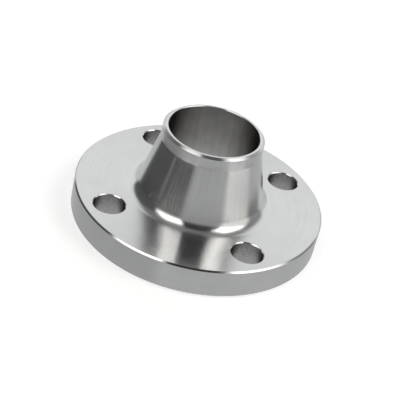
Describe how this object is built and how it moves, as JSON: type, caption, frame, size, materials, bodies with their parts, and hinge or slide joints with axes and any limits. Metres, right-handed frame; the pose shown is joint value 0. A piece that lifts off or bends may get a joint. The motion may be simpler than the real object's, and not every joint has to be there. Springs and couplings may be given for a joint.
{
  "type": "weld neck flange",
  "caption": "Round weld neck pipe flange in stainless steel: a drilled ring with a raised gasket face and a tapered hub that narrows to a bevelled weld end.",
  "frame": {"origin": "centre of the bore in the plane of the raised gasket face, which is the lowest face of the part", "axes": "+Z along the bore from the gasket face to the weld end; the bolt holes lie midway between the X and Y axes"},
  "size_m": [0.1524, 0.1524, 0.064],
  "materials": {
    "stainless_steel": "bright turned stainless steel, circular tool lay, drilled holes duller"
  },
  "bodies": {
    "root": {"flange_forging": "stainless_steel"}
  },
  "joints": []
}
